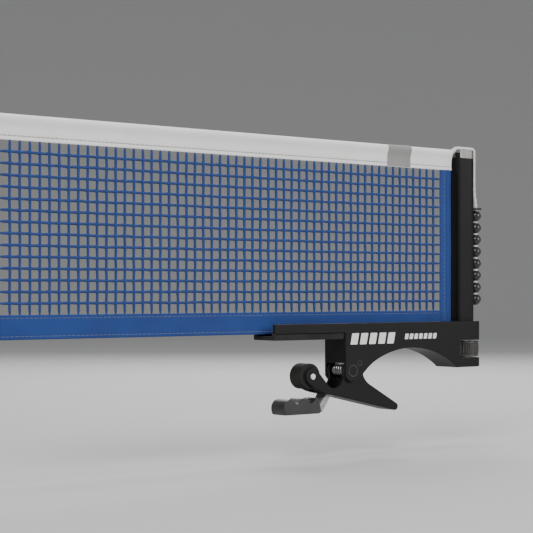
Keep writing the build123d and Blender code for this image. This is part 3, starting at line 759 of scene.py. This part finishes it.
def bead_profile(radius, hole):
    """Bead with flared holes and a fine moulding line round its middle."""
    rim = 0.45 * MM
    start = math.acos((hole + rim) / radius)
    profile = []
    for k in range(BEAD_STEPS + 1):
        angle = start - 2 * start * k / BEAD_STEPS
        reach = radius + BEAD_LINE * bell(angle, BEAD_LINE_ANGLE)
        profile.append((reach * math.cos(angle), reach * math.sin(angle)))
    top = radius * math.sin(start)
    flare = [(hole + rim * 0.35, -top + 0.02 * MM), (hole, -top + rim), (hole, top - rim)]
    return profile + flare + [(hole + rim * 0.35, top - 0.02 * MM)]


# Half sizes of the rounded plug that closes the last bead.
END_PLUG = (2.2 * MM, 2.2 * MM, 0.95 * MM)
bead_count = len([name for name in nodes if name.startswith("cord_bead_")])
for number in range(1, bead_count + 1):
    name = f"cord_bead_{number}"
    low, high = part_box(name)
    radius = (high.x - low.x) / 2
    body = "post" if number == 1 else "tail"
    centre = middle(name)
    centre.y = 0
    if number == bead_count:
        centre.z = low.z + radius
    mesh = lathe(bead_profile(radius, CORD + 0.04 * MM), centre)
    if number == bead_count:
        plug_centre = centre - Vector((0, 0, radius * 0.80))
        mesh = join([mesh, ball(plug_centre, END_PLUG, 24, 8)])
    piece(f"bead_{number}", mesh, body, "bead_black", stands_for=[name])

# ---------------------------------------------------------------- height nut

TEETH = 40
TOOTH = 0.75 * MM
PER_TOOTH = 10
BAND_HALF = 4.15 * MM
NUT_BORE = 4.05 * MM

nut_low, nut_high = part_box("height_nut")
nut_radius = (nut_high.x - nut_low.x) / 2
nut_centre = Vector((middle("height_nut").x, 0, 0))


def knurled_nut():
    """Knob with plain rims, grooves and a straight-knurled band between them."""
    mid = middle("height_nut").z
    rim = nut_radius - 0.1 * MM
    groove = nut_radius - 0.7 * MM
    band_low = mid - BAND_HALF
    lower = [
        (NUT_BORE, nut_low.z), (nut_radius - 1.0 * MM, nut_low.z),
        (nut_radius - 0.35 * MM, nut_low.z + 0.25 * MM), (rim, nut_low.z + 0.8 * MM),
        (rim, band_low - 0.55 * MM), (groove, band_low - 0.40 * MM), (groove, band_low),
    ]
    around = TEETH * PER_TOOTH
    rings = []
    for i in range(around):
        share = (i % PER_TOOTH) / PER_TOOTH
        tooth = TOOTH * min(1.0, 2.0 * (1 - abs(2 * share - 1))) ** 0.7
        crest = nut_radius - TOOTH + tooth
        half = lower + [(crest - 0.30 * MM, band_low + 0.02 * MM), (crest, band_low + 0.45 * MM)]
        profile = half + [(r, 2 * mid - z) for r, z in reversed(half)]
        rings.append([nut_centre + heading(i, around) * r + Vector((0, 0, z)) for r, z in profile])
    return loft(rings, closed=True)


piece("knurled_nut", knurled_nut(), "nut", "nut_metal", stands_for=["height_nut"], smooth=False)

# ---------------------------------------------------------------- threaded stud


PITCH = 1.25 * MM
PITCH_STEPS = 7
THREAD_DEPTH = 0.65 * MM
THREAD_SIDES = 28


def threaded(low_z, high_z, radius, centre):
    """A rod with a V thread as one helical skin, its ends chamfered."""
    count = int((high_z - low_z) / (PITCH / PITCH_STEPS))
    rings = []
    for i in range(count + 1):
        z = low_z + (high_z - low_z) * i / count
        taper = min(min(z - low_z, high_z - z) / (1.0 * MM), 1.0)
        ring = []
        for j in range(THREAD_SIDES):
            phase = (z / PITCH - j / THREAD_SIDES) % 1.0
            ridge = abs(2 * phase - 1)
            reach = radius - THREAD_DEPTH * (1 - ridge) - 0.35 * MM * (1 - taper)
            ring.append(centre + heading(j, THREAD_SIDES) * reach + Vector((0, 0, z)))
        rings.append(ring)
    return loft(rings)


stud_low, stud_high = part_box("adjusting_stud")
stud_mesh = threaded(stud_low.z, stud_high.z, (stud_high.x - stud_low.x) / 2, nut_centre)
piece("threaded_stud", stud_mesh, "post", "plain_steel", stands_for=["adjusting_stud"])

# ---------------------------------------------------------------- printed stripes on the arm


STRIPE_THICK = 0.10 * MM
STRIPE_SUNK = 0.02 * MM
STRIPE_CORNER = 0.5 * MM
SLANT = 0.22


def printed_stripe(x_low, width, z_low, z_high, front):
    """A thin raised stripe with slanted sides and rounded corners on the arm's front face."""
    left = x_low + STRIPE_CORNER
    right = x_low + width - STRIPE_CORNER
    low_z = z_low + STRIPE_CORNER
    high_z = z_high - STRIPE_CORNER
    outline = []
    for centre_x, centre_z, first in (
        (right, low_z, -90), (right, high_z, 0), (left, high_z, 90), (left, low_z, 180),
    ):
        for k in range(4):
            angle = math.radians(first + 30 * k)
            x = centre_x + STRIPE_CORNER * math.cos(angle)
            z = centre_z + STRIPE_CORNER * math.sin(angle)
            outline.append((x + SLANT * (z - z_low), z))
    depths = (front + STRIPE_SUNK, front - STRIPE_THICK)
    return loft([[Vector((x, y, z)) for x, z in outline] for y in depths])


arm_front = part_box("clamp_frame")[0].y
stripes = []
# Each row of stripes: where it starts, how many, how far apart, how wide, and their Z from and to.
for start, count, pitch, width, low, high in (
    (5 * MM, 5, 9.6 * MM, 7.0 * MM, -4.4 * MM, 4.2 * MM),
    (62.5 * MM, 7, 5.2 * MM, 3.6 * MM, -1.4 * MM, 2.9 * MM),
):
    for i in range(count):
        stripes.append(printed_stripe(start + i * pitch, width, low, high, arm_front))
piece("printed_stripes", join(stripes), "frame", "print_white", smooth=False)

# ---------------------------------------------------------------- torsion spring

PIVOT = middle("lever_pivot_pin")
WIRE = 0.9 * MM
WIRE_END = 0.6
WIRE_SIDES = 12
COIL = 5.2 * MM
COIL_HALF = 5.0 * MM
COIL_START_DEG = 24.47
COIL_DEG = 1475
LEVER_LEG = 27.2 * MM
WALL_LEG = 8.7 * MM
COIL_STEP_DEG = 9
# The coil opens up by the lever's travel, so its first part goes with the leg on the lever.
FIXED_FROM_DEG = 45
MOVING_TO_DEG = 90


def coil_heading(degrees):
    angle = math.radians(COIL_START_DEG + degrees)
    return Vector((math.cos(angle), 0, math.sin(angle)))


def coil_points(first, last):
    """Points of the helix round the pivot pin between two angles along it."""
    points = []
    for k in range((last - first) // COIL_STEP_DEG + 1):
        degrees = first + k * COIL_STEP_DEG
        centre = Vector((PIVOT.x, COIL_HALF * (1 - 2 * degrees / COIL_DEG), PIVOT.z))
        points.append(centre + coil_heading(degrees) * COIL)
    return points


def wire_leg(start, direction, length):
    """A straight leg from start, as four points with a rounded end."""
    return [start + direction * (length * share) for share in (0.34, 0.67, 0.97, 1.0)]


moving = coil_points(0, MOVING_TO_DEG)
lever_leg = wire_leg(moving[0], coil_heading(-90), LEVER_LEG)
leg_line = lever_leg[::-1] + moving


def leg_taper(i, angle):
    """The wire's free end is rounded, and its other end thins inside the coil's wire."""
    if i == 0:
        return WIRE_END
    inside = i - (len(leg_line) - (MOVING_TO_DEG - FIXED_FROM_DEG) // COIL_STEP_DEG)
    return 1.0 - 0.08 * max(inside, 0)


fixed = coil_points(FIXED_FROM_DEG, COIL_DEG)
coil_line = fixed + wire_leg(fixed[-1], coil_heading(COIL_DEG + 90), WALL_LEG)


def coil_taper(i, angle):
    """The wire's free end is rounded."""
    return WIRE_END if i == len(coil_line) - 1 else 1.0


coil_mesh = tube(coil_line, WIRE, WIRE_SIDES, coil_taper)
leg_mesh = tube(leg_line, WIRE, WIRE_SIDES, leg_taper)
piece("spring_coil", coil_mesh, "frame", "spring_steel", stands_for=["torsion_spring"])
piece("spring_leg", leg_mesh, "lever", "spring_steel")

# ---------------------------------------------------------------- stage and light


FLOOR_FLAT = 3.0
FLOOR_BEND = 2.2
FLOOR_BEND_DEG = 80
FLOOR_BEND_STEPS = 14
FLOOR_SIDES = 64
FLOOR_COLOUR = (0.50, 0.50, 0.496)


def stage_floor(level):
    """A pale floor that curves up all round into a backdrop, well clear of every view."""
    profile = [(0.5, level), (1.5, level), (FLOOR_FLAT, level)]
    for k in range(1, FLOOR_BEND_STEPS + 1):
        angle = math.radians(FLOOR_BEND_DEG * k / FLOOR_BEND_STEPS)
        rise = FLOOR_BEND * (1 - math.cos(angle))
        profile.append((FLOOR_FLAT + FLOOR_BEND * math.sin(angle), level + rise))
    vertices = []
    for reach, height in profile:
        for k in range(FLOOR_SIDES):
            vertices.append(heading(k, FLOOR_SIDES) * reach + Vector((0, 0, height)))
    faces = [list(range(FLOOR_SIDES))]
    for ring in range(len(profile) - 1):
        for k in range(FLOOR_SIDES):
            here = ring * FLOOR_SIDES + k
            after = ring * FLOOR_SIDES + (k + 1) % FLOOR_SIDES
            faces.append([here, here + FLOOR_SIDES, after + FLOOR_SIDES, after])
    data = bpy.data.meshes.new("floor")
    data.from_pydata(vertices, [], faces)
    for polygon in data.polygons:
        polygon.use_smooth = True
    floor = bpy.data.objects.new("floor", data)
    shader = Shader("floor", FLOOR_COLOUR, 0.9)
    shader.bump(shader.noise(30, 3), 0.0004, 0.1)
    data.materials.append(shader.material)
    bpy.context.scene.collection.objects.link(floor)


def soft_light(name, place, size, power):
    """A rectangular lamp that faces the clamp and stays out of the camera's sight."""
    data = bpy.data.lights.new(name, "AREA")
    data.shape = "RECTANGLE"
    data.size = size[0]
    data.size_y = size[1]
    data.energy = power
    lamp = bpy.data.objects.new(name, data)
    lamp.location = place
    aim = LIT_POINT - Vector(place)
    lamp.rotation_euler = aim.to_track_quat("-Z", "Y").to_euler()
    lamp.visible_camera = False
    bpy.context.scene.collection.objects.link(lamp)


# The grip swings down as the lever opens: the floor lies just below its lowest reach.
lever_hinge = next(joint for joint in frame["joints"] if joint["name"] == "lever_hinge")
grip_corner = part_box("finger_grip")[0] - PIVOT
grip_reach = math.hypot(grip_corner.x, grip_corner.z)
grip_lowest = math.atan2(grip_corner.z, grip_corner.x) + math.radians(lever_hinge["range_deg"][1])
stage_floor(PIVOT.z + grip_reach * math.sin(grip_lowest))

LIT_POINT = Vector((0.02, 0.0, 0.03))
soft_light("key", place=(-1.3, -1.1, 1.3), size=(1.0, 0.8), power=33)
soft_light("fill", place=(0.9, -1.5, 0.6), size=(1.2, 1.0), power=17)
soft_light("rim", place=(0.9, 1.1, 0.9), size=(1.1, 0.5), power=18)
soft_light("top", place=(0.0, 0.1, 1.7), size=(1.6, 0.9), power=14)

world = bpy.data.worlds.new("world")
world.use_nodes = True
sky = world.node_tree.nodes["Background"]
sky.inputs["Color"].default_value = (0.86, 0.87, 0.88, 1)
sky.inputs["Strength"].default_value = 0.42
bpy.context.scene.world = world
